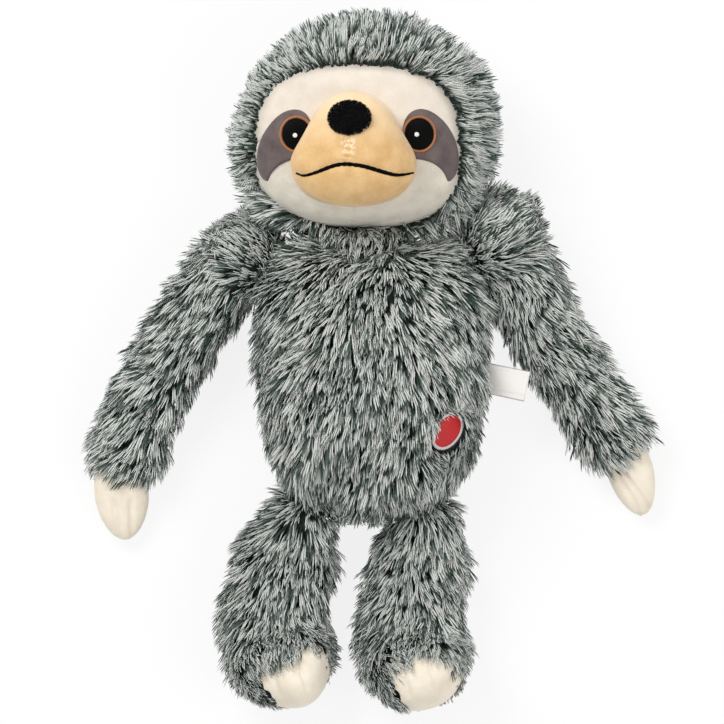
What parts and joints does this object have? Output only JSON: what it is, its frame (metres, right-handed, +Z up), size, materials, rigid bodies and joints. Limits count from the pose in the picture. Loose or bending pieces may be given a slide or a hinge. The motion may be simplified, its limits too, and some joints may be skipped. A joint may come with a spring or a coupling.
{
  "type": "plush toy",
  "caption": "Stuffed long-fur sloth toy lying on its back, with a padded short-pile face and muzzle, limp arms and legs, and a squeaker in its body.",
  "frame": {"origin": "middle of the flat that the torso's back makes on the table", "axes": "+Z up from the table towards the toy's face, +Y from the feet to the head, +X to the toy's own left"},
  "size_m": [0.2735, 0.3287, 0.113],
  "materials": {
    "fur": "long frosted pile, dark at the root and pale at the tip",
    "cream_pile": "short soft pile",
    "cheek_pile": "short soft pile",
    "grey_pile": "short soft pile",
    "tan_pile": "short soft pile",
    "nose_pile": "dense black plush",
    "black_thread": "satin-stitch embroidery",
    "orange_thread": "satin-stitch embroidery",
    "white_thread": "satin-stitch embroidery",
    "stuffing": "loose polyester fibre",
    "seam_cloth": "knitted backing cloth",
    "red_label": "woven, with a pale rim",
    "label_satin": "woven satin",
    "bulb_plastic": "blown, slightly clear",
    "reed_plastic": "moulded"
  },
  "bodies": {
    "torso": {"torso_front_panel": "fur", "torso_back_panel": "fur", "torso_stuffing_front": "stuffing", "torso_stuffing_back": "stuffing", "squeaker_bulb": "bulb_plastic", "squeaker_reed": "reed_plastic", "belly_label": "red_label"},
    "neck": {"neck_seam": "seam_cloth"},
    "head": {"head_cover_left": "fur", "head_cover_right": "fur", "forehead_panel": "cream_pile", "chin_panel": "cheek_pile", "eye_patch_left": "grey_pile", "eye_pupil_left": "black_thread", "eye_ring_left": "orange_thread", "eye_glint_left": "white_thread", "eye_patch_right": "grey_pile", "eye_pupil_right": "black_thread", "eye_ring_right": "orange_thread", "eye_glint_right": "white_thread", "muzzle_left": "tan_pile", "muzzle_right": "tan_pile", "muzzle_stuffing": "stuffing", "mouth_stitching": "black_thread", "nose": "nose_pile", "head_stuffing": "stuffing"},
    "label": {"care_label": "label_satin"},
    "shoulder_left": {"shoulder_seam_left": "seam_cloth"},
    "arm_left": {"arm_cover_left": "fur", "arm_stuffing_left": "stuffing"},
    "hand_left": {"hand_front_left": "cream_pile", "hand_back_left": "cream_pile", "hand_stuffing_left": "stuffing"},
    "hip_left": {"hip_seam_left": "seam_cloth"},
    "leg_left": {"leg_cover_left": "fur", "leg_stuffing_left": "stuffing", "toe_cap_left": "cream_pile"},
    "shoulder_right": {"shoulder_seam_right": "seam_cloth"},
    "arm_right": {"arm_cover_right": "fur", "arm_stuffing_right": "stuffing"},
    "hand_right": {"hand_front_right": "cream_pile", "hand_back_right": "cream_pile", "hand_stuffing_right": "stuffing"},
    "hip_right": {"hip_seam_right": "seam_cloth"},
    "leg_right": {"leg_cover_right": "fur", "leg_stuffing_right": "stuffing", "toe_cap_right": "cream_pile"}
  },
  "joints": [
    {"name": "neck_nod", "type": "hinge", "parent": "torso", "child": "neck", "pos_m": [-0.0038, 0.0578, 0.038], "axis": [1, 0, 0], "range_deg": [-20, 35]},
    {"name": "neck_turn", "type": "hinge", "parent": "neck", "child": "head", "pos_m": [-0.0038, 0.0578, 0.038], "axis": [0, 1, 0], "range_deg": [-35, 35]},
    {"name": "shoulder_swing_left", "type": "hinge", "parent": "torso", "child": "shoulder_left", "pos_m": [0.06, 0.0598, 0.028], "axis": [0, 0, 1], "range_deg": [-8, 75]},
    {"name": "shoulder_raise_left", "type": "hinge", "parent": "shoulder_left", "child": "arm_left", "pos_m": [0.06, 0.0598, 0.028], "axis": [-0.8599, -0.5105, 0], "range_deg": [-20, 75]},
    {"name": "wrist_bend_left", "type": "hinge", "parent": "arm_left", "child": "hand_left", "pos_m": [0.12037, -0.04245, 0.01303], "axis": [-0.9816, -0.1908, 0], "range_deg": [-20, 50]},
    {"name": "hip_swing_left", "type": "hinge", "parent": "torso", "child": "hip_left", "pos_m": [0.025, -0.0742, 0.024], "axis": [0, 0, 1], "range_deg": [-3, 30]},
    {"name": "hip_raise_left", "type": "hinge", "parent": "hip_left", "child": "leg_left", "pos_m": [0.025, -0.0742, 0.024], "axis": [-0.9932, 0.1167, 0], "range_deg": [-15, 70]},
    {"name": "shoulder_swing_right", "type": "hinge", "parent": "torso", "child": "shoulder_right", "pos_m": [-0.06, 0.0528, 0.028], "axis": [0, 0, -1], "range_deg": [-8, 75]},
    {"name": "shoulder_raise_right", "type": "hinge", "parent": "shoulder_right", "child": "arm_right", "pos_m": [-0.06, 0.0528, 0.028], "axis": [-0.8721, 0.4894, 0], "range_deg": [-20, 75]},
    {"name": "wrist_bend_right", "type": "hinge", "parent": "arm_right", "child": "hand_right", "pos_m": [-0.11978, -0.05197, 0.01302], "axis": [-0.9994, -0.0349, 0], "range_deg": [-20, 50]},
    {"name": "hip_swing_right", "type": "hinge", "parent": "torso", "child": "hip_right", "pos_m": [-0.034, -0.0742, 0.024], "axis": [0, 0, -1], "range_deg": [-3, 30]},
    {"name": "hip_raise_right", "type": "hinge", "parent": "hip_right", "child": "leg_right", "pos_m": [-0.034, -0.0742, 0.024], "axis": [-0.9778, 0.2096, 0], "range_deg": [-15, 70]},
    {"name": "label_flap", "type": "hinge", "parent": "torso", "child": "label", "pos_m": [0.05346, -0.006, 0.0365], "axis": [-0.2079, -0.9781, 0], "range_deg": [-3, 80], "stiffness_Nm_per_rad": 0.0002}
  ]
}
